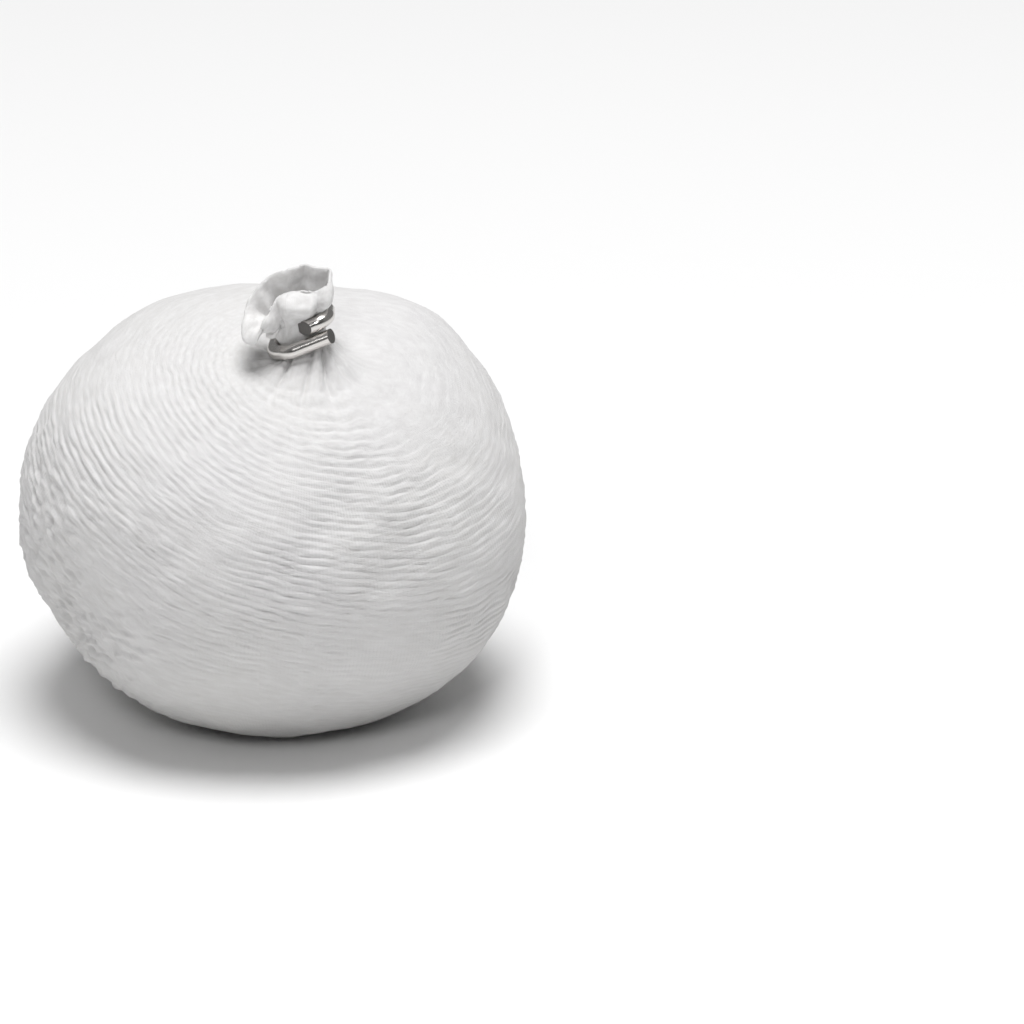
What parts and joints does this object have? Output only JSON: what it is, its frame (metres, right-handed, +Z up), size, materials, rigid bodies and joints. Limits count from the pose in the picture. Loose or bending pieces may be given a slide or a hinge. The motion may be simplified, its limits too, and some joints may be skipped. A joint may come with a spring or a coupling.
{
  "type": "chalk ball",
  "caption": "Soft ball of white knitted tube filled with chalk powder, gathered at both ends by a bent wire ring, with a short ragged tuft above the neck ring.",
  "frame": {"origin": "centre of the flat patch that the ball rests on", "axes": "+Z up, -Y to the front, where the ends of the neck ring overlap, +X to the right seen from the front"},
  "size_m": [0.07, 0.069, 0.0684],
  "materials": {
    "white_knit": "matt white cotton rib knit, dusted with chalk",
    "chalk_powder": "loose dry white powder",
    "ring_steel": "bright drawn wire, zinc plated, with sheared ends"
  },
  "bodies": {
    "root": {"knit_sock": "white_knit", "chalk_fill": "chalk_powder", "neck_ring": "ring_steel", "toe_ring": "ring_steel"}
  },
  "joints": []
}
